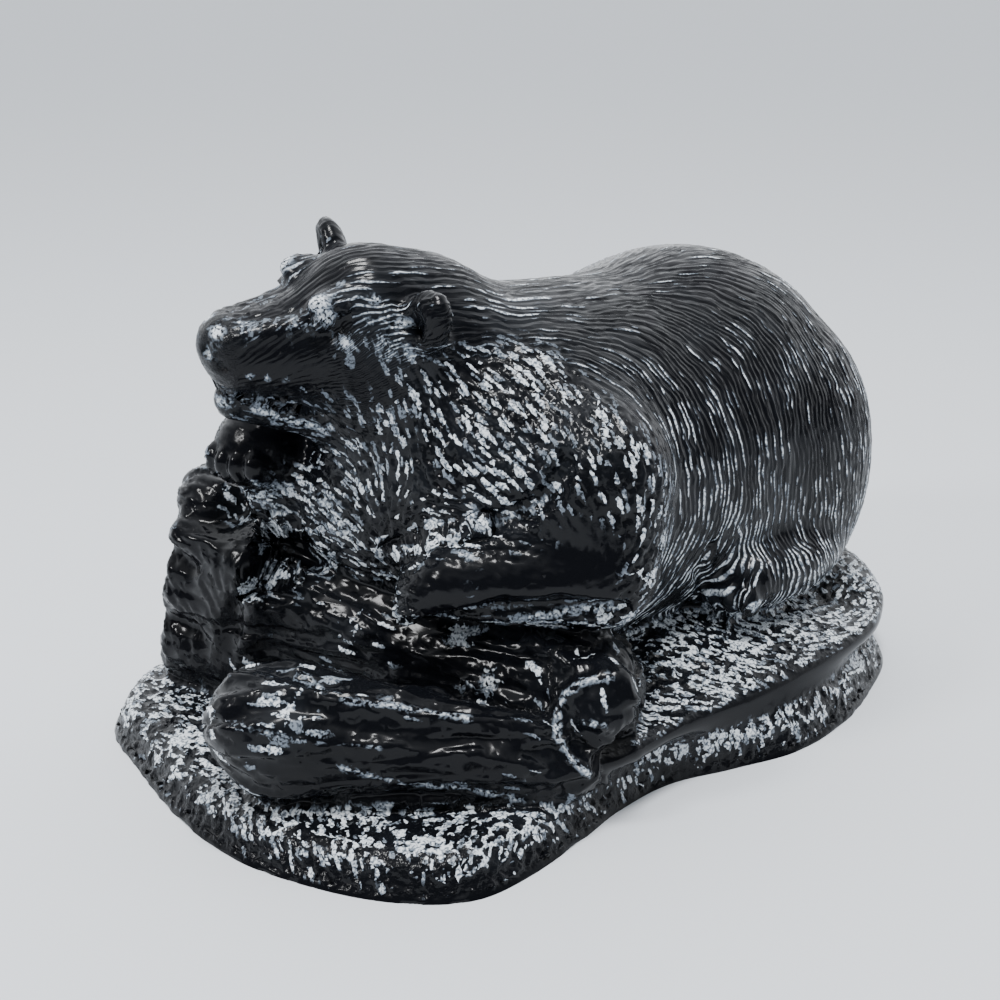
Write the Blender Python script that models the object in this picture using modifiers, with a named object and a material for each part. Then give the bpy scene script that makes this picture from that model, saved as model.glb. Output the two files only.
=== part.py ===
"""A cast statue: a bear that rests behind two fallen logs, on rocky ground of two tiers.

The statue is one casting, so it is one solid. Its forms are drawn in millimetres, with +Z up, the head
towards -X and the side that is seen first towards -Y. Each form knows the distance from any point to its
surface, and a group blends the distances of its forms, as clay forms are smoothed into each other. The
mesh starts as the plain forms remeshed into one skin, which is then moved onto the blended surface.
"""

import math

import bmesh
import bpy
import numpy as np
from mathutils import Euler, Matrix, Vector

# Driving dimensions, in metres
BASE_LENGTH = 0.158  # rocky ground, front lip to rear lip
BASE_WIDTH = 0.111  # rocky ground, side to side
LEDGE_HEIGHT = 0.0075  # top edge of the lower tier
CHANNEL_DEPTH = 0.004  # smooth channel between the two tiers
TIER_HEIGHT = 0.0145  # top edge of the upper tier
MOUND_HEIGHT = 0.024  # crown of the rock under the bear
BEAR_LENGTH = 0.143  # nose to rump
UPPER_LOG_RADIUS = 0.017
UPPER_LOG_LENGTH = 0.070
LOWER_LOG_RADIUS = 0.0125
LOWER_LOG_LENGTH = 0.049
STUB_RADIUS = 0.0078  # broken branch at the near end of the logs
FURROW_DEPTH = 0.0014  # bark furrows along the logs
SKIN_STEP = 0.0013  # spacing of the points before the skin is reduced
TRIANGLES = 9600

# The sizes that the forms were drawn at, in millimetres: each group is scaled from them
DRAWN_BASE = (158.0, 111.0)
DRAWN_BEAR = 143.0
TO_MM = 1000.0


def turned(angles):
    """Rotation matrix from three angles in degrees, about X, then Y, then Z."""
    return np.array(Euler([math.radians(angle) for angle in angles]).to_matrix())


def join(first, second, blend):
    """The nearer of two distances, with the crease between them filled over the blend width."""
    reach = np.maximum(blend - np.abs(first - second), 0) / blend
    return np.minimum(first, second) - reach * reach * blend / 4


class Blob:
    """Ellipsoid."""

    def __init__(self, centre, radii, turn=(0, 0, 0)):
        self.centre = np.array(centre, float)
        self.radii = np.array(radii, float)
        self.turn = turned(turn)
        self.reach = self.radii.max()

    def distance(self, points):
        local = (points - self.centre) @ self.turn
        size = np.linalg.norm(local / self.radii, axis=1)
        slope = np.linalg.norm(local / self.radii**2, axis=1)
        return size * (size - 1) / np.maximum(slope, 1e-9)

    def build(self, mesh, frame):
        place = frame @ Matrix.LocRotScale(self.centre, Matrix(self.turn), self.radii)
        bmesh.ops.create_icosphere(mesh, subdivisions=3, radius=1, matrix=place)


class Limb:
    """Round-ended cone between two points."""

    def __init__(self, start, end, start_radius, end_radius):
        self.start = np.array(start, float)
        self.end = np.array(end, float)
        self.radii = (start_radius, end_radius)
        self.centre = (self.start + self.end) / 2
        self.reach = np.linalg.norm(self.end - self.start) / 2 + max(self.radii)

    def distance(self, points):
        start_radius, end_radius = self.radii
        axis = self.end - self.start
        length = np.linalg.norm(axis)
        lean = (start_radius - end_radius) / length
        across = math.sqrt(1 - lean * lean)
        local = points - self.start
        along = local @ axis / length
        beside = np.sqrt(np.maximum((local**2).sum(axis=1) - along**2, 0))
        along_cone = across * along - lean * beside
        at_start = np.hypot(beside, along) - start_radius
        at_end = np.hypot(beside, along - length) - end_radius
        at_side = beside * across + along * lean - start_radius
        nearest = np.where(along_cone > across * length, at_end, at_side)
        return np.where(along_cone < 0, at_start, nearest)

    def build(self, mesh, frame):
        axis = Vector(self.end - self.start)
        spin = axis.to_track_quat("Z", "Y")
        for point, radius in zip((self.start, self.end), self.radii):
            place = frame @ Matrix.LocRotScale(point, None, (radius,) * 3)
            bmesh.ops.create_icosphere(mesh, subdivisions=3, radius=1, matrix=place)
        place = frame @ Matrix.LocRotScale(self.centre, spin, (1, 1, 1))
        bmesh.ops.create_cone(
            mesh,
            cap_ends=True,
            segments=40,
            radius1=self.radii[0],
            radius2=self.radii[1],
            depth=axis.length,
            matrix=place,
        )


class Block:
    """Box with rounded edges."""

    def __init__(self, centre, halves, turn=(0, 0, 0), rounding=2.0):
        self.centre = np.array(centre, float)
        self.halves = np.array(halves, float)
        self.turn = turned(turn)
        self.rounding = rounding
        self.reach = np.linalg.norm(self.halves)

    def distance(self, points):
        local = (points - self.centre) @ self.turn
        past = np.abs(local) - self.halves + self.rounding
        outside = np.linalg.norm(np.maximum(past, 0), axis=1)
        return outside + np.minimum(past.max(axis=1), 0) - self.rounding

    def build(self, mesh, frame):
        place = frame @ Matrix.LocRotScale(self.centre, Matrix(self.turn), self.halves * 2)
        bmesh.ops.create_cube(mesh, size=1, matrix=place)


class Slab:
    """Layer of rock: an outline seen from above, between two heights, with a rounded rim."""

    STEPS = 8  # points along each stretch of the outline
    ANGLES = 720

    def __init__(self, outline, bottom, top, rounding, inset=0.0, flare=0.0):
        stretch = np.array([BASE_LENGTH, BASE_WIDTH]) * TO_MM / DRAWN_BASE
        self.outline = self.smoothed(np.array(outline, float) * stretch)
        self.bottom, self.top, self.rounding = bottom, top, rounding
        self.inset, self.flare = inset, flare
        self.middle = self.outline.mean(axis=0)
        self.centre = np.array([*self.middle, (bottom + top) / 2])
        spokes = self.outline - self.middle
        bearing = np.arctan2(spokes[:, 1], spokes[:, 0])
        order = np.argsort(bearing)
        radius = np.hypot(*spokes.T)[order]
        self.bearings = np.linspace(-math.pi, math.pi, self.ANGLES + 1)
        self.rim = np.interp(self.bearings, bearing[order], radius, period=math.tau)
        slope = np.gradient(self.rim, self.bearings) / self.rim
        self.facing = 1 / np.sqrt(1 + slope**2)
        self.reach = self.rim.max() + top - bottom

    def smoothed(self, corners):
        """A closed curve through the corners."""
        share = np.linspace(0, 1, self.STEPS, endpoint=False)[:, None]
        before, after, later = (np.roll(corners, step, axis=0) for step in (1, -1, -2))
        stretches = [
            here + share * (next_one - past + share * (2 * past - 5 * here + 4 * next_one - far
            + share * (3 * here - past - 3 * next_one + far))) / 2
            for past, here, next_one, far in zip(before, corners, after, later)
        ]
        return np.concatenate(stretches)

    def distance(self, points):
        spokes = points[:, :2] - self.middle
        bearing = np.arctan2(spokes[:, 1], spokes[:, 0])
        rim = np.interp(bearing, self.bearings, self.rim)
        facing = np.interp(bearing, self.bearings, self.facing)
        beside = (np.hypot(*spokes.T) - rim) * facing + self.inset
        beside -= self.flare * (self.top - points[:, 2])
        beside /= math.hypot(1, self.flare)
        half = (self.top - self.bottom) / 2
        above = np.abs(points[:, 2] - self.top + half) - half
        past = np.stack([beside, above], axis=1) + self.rounding
        outside = np.linalg.norm(np.maximum(past, 0), axis=1)
        return outside + np.minimum(past.max(axis=1), 0) - self.rounding

    def build(self, mesh, frame):
        share = 1 - self.inset / self.rim.mean()
        ring = self.middle + (self.outline - self.middle) * share
        corners = [mesh.verts.new(frame @ Vector((x, y, self.bottom))) for x, y in ring]
        face = mesh.faces.new(corners)
        raised = bmesh.ops.extrude_face_region(mesh, geom=[face], use_keep_orig=True)
        raised = [item for item in raised["geom"] if isinstance(item, bmesh.types.BMVert)]
        bmesh.ops.translate(mesh, verts=raised, vec=(0, 0, self.top - self.bottom))


class Group:
    """Forms that are blended one after the other. A form marked CUT is hollowed out of those before it."""

    def __init__(self, *items):
        self.items = items
        self.centre = items[0][1].centre
        self.reach = max(
            np.linalg.norm(form.centre - self.centre) + form.reach for _, form, *_ in items
        )

    def distance(self, points):
        nearest = self.items[0][1].distance(points)
        for blend, form, *cut in self.items[1:]:
            far = np.linalg.norm(points - form.centre, axis=1) - form.reach
            limit = blend - nearest if cut else nearest + blend
            close = far < limit
            if not close.any():
                continue
            other = form.distance(points[close])
            if cut:
                nearest[close] = -join(-nearest[close], other, blend)
            else:
                nearest[close] = join(nearest[close], other, blend)
        return nearest

    def build(self, mesh, frame):
        for _, form, *cut in self.items:
            if not cut:
                form.build(mesh, frame)


class Scaled:
    """A group drawn about its own origin, scaled and set in place."""

    def __init__(self, group, scale, place, turn=(0, 0, 0)):
        self.group = group
        self.scale = scale
        self.place = np.array(place, float)
        self.turn = turned(turn)
        self.centre = self.place + self.turn @ group.centre * scale
        self.reach = group.reach * scale

    def distance(self, points):
        local = (points - self.place) @ self.turn / self.scale
        return self.group.distance(local) * self.scale

    def build(self, mesh, frame):
        place = Matrix.LocRotScale(self.place, Matrix(self.turn), (self.scale,) * 3)
        self.group.build(mesh, frame @ place)


CUT = True


def head():
    """Drawn from the middle of the skull, with the nose towards +X and the near side at +Y."""
    items = [
        (0, Blob((1, 0, 0.5), (17, 15.5, 16))),
        (5, Blob((10, 0, 9.5), (10, 10.5, 9))),
        (6, Limb((10, 0, 0), (31, 0, 1), 13.3, 7.6)),
        (2, Blob((35, 0, 3.4), (4.6, 5.4, 4.8))),
        (1.2, Limb((12, 0, -9.5), (33, 0, -6), 7.2, 3.2)),
        (6, Blob((4, 0, -8), (15, 14.5, 11))),
        (1, Blob((24, 0, -8.2), (14, 11, 0.9), (0, -9, 0)), CUT),
    ]
    for side in (-1, 1):
        items += [
            (2.5, Blob((18.5, side * 7.5, 12.4), (4, 3.2, 2.2), (side * 15, 0, 0))),
            (2, Blob((21, side * 10.4, 8.6), (4.2, 2.2, 3), (0, 0, side * 20)), CUT),
            (0.8, Blob((19.4, side * 8.9, 8.8), (2.2, 1.7, 1.5))),
            (0.8, Blob((38.2, side * 3.1, 3.6), (2.2, 1.5, 1.6)), CUT),
            (0.8, Blob((36.6, side * 5.4, 1.2), (2.4, 1.3, 1.1)), CUT),
        ]
    near_ear, near_hollow = (5.2, 13.8, 9.8), (7.6, 15.4, 10)
    far_ear, far_hollow = (11, -12.4, 13.8), (13.4, -12.9, 14)
    items += [
        (2, Blob(near_ear, (4, 5, 6.4), (-28, 0, 14))),
        (1.4, Blob(near_hollow, (2.9, 3.2, 4.6), (-28, 0, 14)), CUT),
        (2, Blob(far_ear, (2.9, 4.2, 5.6), (26, 14, -8))),
        (1.2, Blob(far_hollow, (2.1, 2.6, 3.6), (26, 14, -8)), CUT),
    ]
    return Group(*items)


def paw(length, width, toes=4):
    """Forefoot with its toes, drawn from the wrist towards +X."""
    items = [(0, Blob((0, 0, 0), (length * 0.75, width / 2, width * 0.42)))]
    for toe in range(toes):
        across = (toe + 0.5) / toes - 0.5
        tip = (length * (0.62 - abs(across) * 0.35), across * width * 0.92, -width * 0.12)
        items.append((1.0, Blob(tip, (length * 0.36, width / toes * 0.62, width * 0.27), (0, 22, 0))))
    return Group(*items)


def bear():
    """Drawn from the point of the rock that it rests on."""
    trunk = Group(
        (0, Blob((48.5, -4, 26), (40.5, 37, 38.3))),
        (14, Blob((12, -4, 24), (42, 33, 36))),
        (12, Limb((8, -2, 38.5), (-14, 3, 48), 22.5, 18)),
        (10, Blob((-8, -5, 30), (24, 31, 28))),
        (10, Blob((-21, 13, 23), (15, 18, 16))),
        (6, Blob((62, -27, 19), (21, 15, 28), (0, 0, 8))),
        (6, Blob((62, 19, 19), (21, 15, 28), (0, 0, -8))),
    )
    near_arm = Group(
        (0, Limb((-4, -30, 34), (-6, -36, 20), 15, 10.5)),
        (4, Limb((-6, -37, 18.5), (-31, -17, 20), 9.5, 7)),
        (2.5, Scaled(paw(9.5, 14.5), 1, (-34, -14.5, 19.6), (0, 14, 145))),
    )
    far_arm = Group(
        (0, Limb((-6, 22, 36), (-22, 30, 32), 14, 9.5)),
        (4, Limb((-22, 30, 32), (-36, 29, 34), 9, 7.5)),
        (5, Blob((-27, 27, 25), (13, 9, 9))),
        (2.5, Scaled(paw(9, 15), 1, (-38, 28.5, 34), (0, 12, 188))),
    )
    hind_feet = Group(
        (0, Blob((47, -34, 4), (21, 10, 8.5), (0, 0, 3))),
        (2, Scaled(paw(8, 15), 1, (31, -35, 3), (0, 6, 184))),
        (1, Blob((50, 25, 3), (19, 10, 9), (0, 0, -4))),
        (2, Scaled(paw(9, 15), 1, (33, 26, 1), (0, 8, 176))),
    )
    return Group(
        (0, trunk),
        (7, Scaled(head(), 1, (-20, 4, 56), (-13, 0, 160))),
        (3, near_arm),
        (3, far_arm),
        (3, hind_feet),
    )


def furrows(length, radius, depth, count, facing):
    """Long shallow grooves in a log's bark, on the side that the angles in degrees face."""
    cuts = []
    for index in range(count):
        share = (index + 0.5) / count
        angle = math.radians(facing[0] + (facing[1] - facing[0]) * share)
        middle = length * (0.5 + 0.16 * math.sin(index * 2.4))
        half = length * (0.30 + 0.08 * math.cos(index * 1.7))
        place = (middle, radius * math.cos(angle), radius * math.sin(angle))
        tilt = 3 * math.sin(index * 3.1)
        groove = Blob(place, (half, depth * 1.1, depth), (math.degrees(angle) - 90, 0, tilt))
        cuts.append((depth, groove, CUT))
    return cuts


def upper_log():
    """Drawn along +X from its broken end, which stands up as a stump."""
    length, radius, depth = (size * TO_MM for size in (UPPER_LOG_LENGTH, UPPER_LOG_RADIUS, FURROW_DEPTH))
    return Group(
        (0, Limb((0, 0, 0), (length, 0, -radius * 0.3), radius, radius * 0.74)),
        (4, Block((-6, -7, 0), (10, 12.5, 19), (4, 12, 4), 4)),
        (3, Blob((-8.5, -6.5, 19), (8.5, 9.5, 6.5), (0, 12, 0))),
        (2, Blob((-12, -20, 11), (9, 4, 2.2), (0, 14, 0)), CUT),
        (2, Blob((-12, -20.5, -4), (9, 3.4, 1.6), (0, 8, 10)), CUT),
        (2, Blob((2, -18, 2), (1.6, 3, 13), (0, 8, 0)), CUT),
        (2, Blob((18, -9, 13.5), (9, 3, 2.4), (30, 0, 12)), CUT),
        (2, Blob((30, -2, 16), (8, 3, 2.6), (0, 8, -18)), CUT),
        *furrows(length, radius, depth, 6, (150, 260)),
    )


def lower_log():
    """Drawn along +X from its thick end, at -Y of the upper log."""
    length, radius, depth = (size * TO_MM for size in (LOWER_LOG_LENGTH, LOWER_LOG_RADIUS, FURROW_DEPTH))
    return Group(
        (0, Limb((0, 0, 0), (length, 0, -radius * 0.52), radius, radius * 0.53)),
        (3, Blob((-radius * 0.5, -1.5, 3), (8, 8.5, 9))),
        (2, Limb((length * 0.25, -3, radius * 0.5), (length * 0.9, -1, 0), 5, 3.5)),
        *furrows(length, radius, depth, 8, (120, 285)),
    )


def stub():
    """Broken branch that curls down, hollow below its rim. Drawn from the middle of the break."""
    radius = STUB_RADIUS * TO_MM
    return Group(
        (0, Limb((0, 0, radius * 0.5), (radius * 0.1, 0, -radius * 0.8), radius, radius * 0.8)),
        (2, Blob((radius * 0.2, radius * 0.7, radius), (radius * 1.2, radius, radius * 0.7), (30, 0, 0))),
        (1.2, Blob((radius * 0.5, -radius * 0.8, -radius * 0.75), (radius * 0.55, radius * 0.6, radius)), CUT),
    )


LOWER_OUTLINE = [
    (-60, 47), (-66, 30), (-71, 10), (-72, -8), (-68, -24), (-62, -36), (-54, -44), (-44, -46),
    (-29, -45), (-14, -43), (0, -44), (12, -49), (26, -54), (42, -54), (58, -50), (74, -43),
    (85, -28), (86, 0), (78, 26), (60, 42), (36, 50), (8, 49), (-18, 53), (-44, 57),
]
UPPER_OUTLINE = [
    (-30, 44), (-38, -10), (-33, -38), (-20, -47), (-4, -48), (12, -49), (30, -50), (48, -51),
    (64, -49), (77, -41), (85, -26), (86, 0), (77, 22), (56, 38), (26, 43), (0, 47),
]


def ground():
    ledge, channel, tier, mound = (
        size * TO_MM for size in (LEDGE_HEIGHT, CHANNEL_DEPTH, TIER_HEIGHT, MOUND_HEIGHT)
    )
    below = -6.0
    long, wide = np.array([BASE_LENGTH, BASE_WIDTH]) * TO_MM / DRAWN_BASE
    return Group(
        (0, Slab(LOWER_OUTLINE, below, ledge, 2.5, inset=1.5, flare=0.45)),
        (3, Slab(UPPER_OUTLINE, below, tier - 2, 3, inset=channel + 1)),
        (3, Slab(UPPER_OUTLINE, tier - 4.5, tier, 2.2)),
        (5, Blob((30 * long, -4 * wide, tier - 8), (58 * long, 48 * wide, mound - tier + 8))),
        (5, Blob((72 * long, -20 * wide, tier - 2), (15 * long, 22 * wide, 11))),
    )


def statue():
    ledge, mound = LEDGE_HEIGHT * TO_MM, MOUND_HEIGHT * TO_MM
    upper, lower = UPPER_LOG_RADIUS * TO_MM, LOWER_LOG_RADIUS * TO_MM
    long, wide = np.array([BASE_LENGTH, BASE_WIDTH]) * TO_MM / DRAWN_BASE
    logs = Group(
        (0, Scaled(upper_log(), 1, (-29 * long, 35 * wide, ledge + upper + 1), (0, 0, -78))),
        (2, Scaled(lower_log(), 1, (-60 * long, -6 * wide, ledge + lower - 1), (0, 0, -46))),
        (2, Scaled(stub(), 1, (-19 * long, -42 * wide, ledge + lower - 1.5), (0, 0, -20))),
    )
    return Group(
        (0, ground()),
        (2, logs),
        (2.5, Scaled(bear(), BEAR_LENGTH * TO_MM / DRAWN_BEAR, (0, 0, mound + 0.5))),
    )


def slopes(form, points, step=0.2):
    """Unit directions in which the distance to the form grows."""
    corners = np.array([(1, -1, -1), (-1, -1, 1), (-1, 1, -1), (1, 1, 1)], float)
    slope = sum(corner * form.distance(points + corner * step)[:, None] for corner in corners)
    return slope / np.maximum(np.linalg.norm(slope, axis=1), 1e-9)[:, None]


def settle(mesh, form, rounds=4):
    """Moves a mesh's points onto the surface of the form."""
    points = np.empty(len(mesh.vertices) * 3, np.float32)
    mesh.vertices.foreach_get("co", points)
    points = points.reshape(-1, 3).astype(float)
    for _ in range(rounds):
        points -= slopes(form, points) * form.distance(points)[:, None]
    mesh.vertices.foreach_set("co", points.astype(np.float32).ravel())
    mesh.update()


def modified(mesh, kind, **settings):
    """A copy of the mesh with one modifier applied."""
    helper = bpy.data.objects.new("helper", mesh)
    bpy.context.scene.collection.objects.link(helper)
    modifier = helper.modifiers.new(kind.title(), kind)
    for name, value in settings.items():
        setattr(modifier, name, value)
    seen = helper.evaluated_get(bpy.context.evaluated_depsgraph_get())
    result = bpy.data.meshes.new_from_object(seen)
    bpy.data.objects.remove(helper)
    return result


def skin(form):
    """One closed mesh on the surface of the form."""
    plain = bmesh.new()
    form.build(plain, Matrix.Identity(4))
    bmesh.ops.recalc_face_normals(plain, faces=plain.faces[:])
    mesh = bpy.data.meshes.new("skin")
    plain.to_mesh(mesh)
    plain.free()
    for step in (SKIN_STEP * TO_MM * 1.5, SKIN_STEP * TO_MM):
        mesh = modified(mesh, "REMESH", mode="VOXEL", voxel_size=step)
        settle(mesh, form)
    triangles = sum(len(face.vertices) - 2 for face in mesh.polygons)
    return modified(mesh, "DECIMATE", ratio=TRIANGLES / triangles)


def flatten_underside(mesh):
    """Cuts the mesh off at the plane that the statue stands on, and closes it with one flat face."""
    work = bmesh.new()
    work.from_mesh(mesh)
    everything = work.verts[:] + work.edges[:] + work.faces[:]
    bmesh.ops.bisect_plane(
        work, geom=everything, dist=0.01, plane_co=(0, 0, 0), plane_no=(0, 0, 1), clear_inner=True
    )
    for vert in work.verts:
        if any(edge.is_boundary for edge in vert.link_edges):
            vert.co.z = 0
    rim = [edge for edge in work.edges if edge.is_boundary]
    bmesh.ops.edgeloop_fill(work, edges=rim)
    bmesh.ops.recalc_face_normals(work, faces=work.faces[:])
    work.to_mesh(mesh)
    work.free()


def casting_material():
    material = bpy.data.materials.new("black_casting")
    material.use_nodes = True
    shader = material.node_tree.nodes["Principled BSDF"]
    shader.inputs["Base Color"].default_value = (0.018, 0.02, 0.026, 1)
    shader.inputs["Roughness"].default_value = 0.28
    shader.inputs["Metallic"].default_value = 0
    return material


def main():
    for item in list(bpy.data.objects):
        bpy.data.objects.remove(item)
    mesh = skin(statue())
    flatten_underside(mesh)
    mesh.transform(Matrix.Scale(1 / TO_MM, 4))
    mesh.name = "bear_statue"
    mesh.shade_smooth()
    mesh.set_sharp_from_angle(angle=math.radians(50))
    mesh.materials.append(casting_material())
    collection = bpy.data.collections.new("bear_statue")
    bpy.context.scene.collection.children.link(collection)
    collection.objects.link(bpy.data.objects.new("bear_statue", mesh))


main()
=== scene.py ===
import math

import bmesh
import bpy
import numpy as np
from mathutils import Euler, Matrix, Vector


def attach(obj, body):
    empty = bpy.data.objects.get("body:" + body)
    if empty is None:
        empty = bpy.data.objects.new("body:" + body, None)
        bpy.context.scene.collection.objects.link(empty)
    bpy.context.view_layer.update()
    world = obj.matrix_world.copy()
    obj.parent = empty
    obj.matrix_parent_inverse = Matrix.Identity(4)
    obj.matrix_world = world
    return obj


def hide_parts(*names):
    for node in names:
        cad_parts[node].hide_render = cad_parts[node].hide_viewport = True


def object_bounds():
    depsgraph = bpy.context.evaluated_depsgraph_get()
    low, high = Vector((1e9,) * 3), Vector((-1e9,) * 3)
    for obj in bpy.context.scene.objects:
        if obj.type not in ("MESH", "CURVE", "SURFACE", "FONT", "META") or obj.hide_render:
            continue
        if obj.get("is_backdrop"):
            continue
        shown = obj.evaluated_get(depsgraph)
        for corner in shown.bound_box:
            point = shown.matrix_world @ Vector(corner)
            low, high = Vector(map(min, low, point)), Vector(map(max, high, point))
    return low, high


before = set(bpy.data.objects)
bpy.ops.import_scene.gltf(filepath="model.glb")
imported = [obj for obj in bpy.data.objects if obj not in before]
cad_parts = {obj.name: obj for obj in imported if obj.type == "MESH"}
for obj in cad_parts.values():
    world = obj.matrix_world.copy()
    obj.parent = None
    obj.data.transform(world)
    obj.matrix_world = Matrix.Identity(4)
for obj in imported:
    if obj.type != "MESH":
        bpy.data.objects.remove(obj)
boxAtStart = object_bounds()
node = "bear_statue"
perMetre = 1000.0  # the forms are drawn in millimetres

# The picture that the work follows is 1000 points wide and high, counted from its top left corner
picture = {
    "width": 1000,
    "cameraPlace": (-0.2134, -0.2060, 0.1527),
    "cameraTurn": (70, 0, -46),
    "lens": 57.6,
    "sensor": 36.0,
    "nearest": 180.0,  # millimetres from the camera at which the looking starts
    "steps": 90,
}

# The statue is one casting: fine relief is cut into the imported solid's own surface.
# The head points to -X, the side that is seen first is at -Y, and +Z is up.


def turned(angles):
    return np.array(Euler([math.radians(angle) for angle in angles]).to_matrix())


def unit(vectors):
    return vectors / np.maximum(np.linalg.norm(vectors, axis=1), 1e-9)[:, None]


# Unit directions in which the distance to the form grows
def slopes(form, points, step=0.15):
    corners = np.array([(1, -1, -1), (-1, -1, 1), (-1, 1, -1), (1, 1, 1)], float)
    return unit(sum(corner * form.distance(points + corner * step)[:, None] for corner in corners))


# The nearer of two distances, with the crease between them filled over the blend width
def join(first, second, blend):
    reach = np.maximum(blend - np.abs(first - second), 0) / blend
    return np.minimum(first, second) - reach * reach * blend / 4


# Each form below gives the distance from any points to its surface, below zero inside
class Blob:
    def __init__(self, centre, radii, turn=(0, 0, 0)):
        self.centre = np.array(centre, float)
        self.radii = np.array(radii, float)
        self.turn = turned(turn)
        self.reach = self.radii.max()

    def distance(self, points):
        local = (points - self.centre) @ self.turn
        size = np.linalg.norm(local / self.radii, axis=1)
        slope = np.linalg.norm(local / self.radii**2, axis=1)
        return size * (size - 1) / np.maximum(slope, 1e-9)


# Round-ended cone between two points
class Limb:
    def __init__(self, start, end, startRadius, endRadius):
        self.start = np.array(start, float)
        self.end = np.array(end, float)
        self.radii = (startRadius, endRadius)
        self.centre = (self.start + self.end) / 2
        self.reach = np.linalg.norm(self.end - self.start) / 2 + max(self.radii)

    def distance(self, points):
        startRadius, endRadius = self.radii
        axis = self.end - self.start
        length = np.linalg.norm(axis)
        lean = (startRadius - endRadius) / length
        across = math.sqrt(1 - lean * lean)
        local = points - self.start
        along = local @ axis / length
        beside = np.sqrt(np.maximum((local**2).sum(axis=1) - along**2, 0))
        alongCone = across * along - lean * beside
        atStart = np.hypot(beside, along) - startRadius
        atEnd = np.hypot(beside, along - length) - endRadius
        atSide = beside * across + along * lean - startRadius
        nearest = np.where(alongCone > across * length, atEnd, atSide)
        return np.where(alongCone < 0, atStart, nearest)


# Box with rounded edges
class Block:
    def __init__(self, centre, halves, turn=(0, 0, 0), rounding=2.0):
        self.centre = np.array(centre, float)
        self.halves = np.array(halves, float)
        self.turn = turned(turn)
        self.rounding = rounding
        self.reach = np.linalg.norm(self.halves)

    def distance(self, points):
        local = (points - self.centre) @ self.turn
        past = np.abs(local) - self.halves + self.rounding
        outside = np.linalg.norm(np.maximum(past, 0), axis=1)
        return outside + np.minimum(past.max(axis=1), 0) - self.rounding


# Layer of rock: an outline seen from above, between two heights, with a rounded rim
class Slab:
    def __init__(self, outline, bottom, top, rounding, inset=0.0, flare=0.0):
        corners = np.array(outline, float)
        share = np.linspace(0, 1, 8, endpoint=False)[:, None]
        before, after, later = (np.roll(corners, step, axis=0) for step in (1, -1, -2))
        stretches = [
            here + share * (ahead - past + share * (2 * past - 5 * here + 4 * ahead - far
            + share * (3 * here - past - 3 * ahead + far))) / 2
            for past, here, ahead, far in zip(before, corners, after, later)
        ]
        curve = np.concatenate(stretches)
        self.bottom, self.top, self.rounding = bottom, top, rounding
        self.inset, self.flare = inset, flare
        self.middle = curve.mean(axis=0)
        self.centre = np.array([*self.middle, (bottom + top) / 2])
        spokes = curve - self.middle
        bearing = np.arctan2(spokes[:, 1], spokes[:, 0])
        order = np.argsort(bearing)
        self.bearings = np.linspace(-math.pi, math.pi, 721)
        self.rim = np.interp(self.bearings, bearing[order], np.hypot(*spokes.T)[order], period=math.tau)
        slope = np.gradient(self.rim, self.bearings) / self.rim
        self.facing = 1 / np.sqrt(1 + slope**2)
        self.reach = self.rim.max() + top - bottom

    def beside(self, points):
        spokes = points[:, :2] - self.middle
        bearing = np.arctan2(spokes[:, 1], spokes[:, 0])
        rim = np.interp(bearing, self.bearings, self.rim)
        return (np.hypot(*spokes.T) - rim) * np.interp(bearing, self.bearings, self.facing) + self.inset

    def distance(self, points):
        beside = self.beside(points) - self.flare * (self.top - points[:, 2])
        beside /= math.hypot(1, self.flare)
        half = (self.top - self.bottom) / 2
        above = np.abs(points[:, 2] - self.top + half) - half
        past = np.stack([beside, above], axis=1) + self.rounding
        outside = np.linalg.norm(np.maximum(past, 0), axis=1)
        return outside + np.minimum(past.max(axis=1), 0) - self.rounding


# Forms that are blended one after the other; one marked cut is hollowed out of those before it
class Group:
    def __init__(self, *items):
        self.items = items
        self.centre = items[0][1].centre
        self.reach = max(
            np.linalg.norm(form.centre - self.centre) + form.reach for _, form, *_ in items
        )

    def distance(self, points):
        nearest = self.items[0][1].distance(points)
        for blend, form, *cuts in self.items[1:]:
            far = np.linalg.norm(points - form.centre, axis=1) - form.reach
            close = far < (blend - nearest if cuts else nearest + blend)
            if not close.any():
                continue
            other = form.distance(points[close])
            if cuts:
                nearest[close] = -join(-nearest[close], other, blend)
            else:
                nearest[close] = join(nearest[close], other, blend)
        return nearest


# A group drawn about its own origin, set in place
class Placed:
    def __init__(self, group, place, turn=(0, 0, 0)):
        self.group = group
        self.place = np.array(place, float)
        self.turn = turned(turn)
        self.centre = self.place + self.turn @ group.centre
        self.reach = group.reach

    def local(self, points):
        return (points - self.place) @ self.turn

    def distance(self, points):
        return self.group.distance(self.local(points))


cut = True
bear = {
    "place": (0, 0, 24.5),
    "headPlace": (-20, 4, 56),  # from the point of the rock that the bear rests on
    "headTurn": (-13, 0, 160),
    "eyeRadius": 1.75,
    "middle": -4,  # the spine's place across the body
    "evenness": 0.16,  # how far the fur's lines keep apart evenly rather than follow its lie
}


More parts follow.
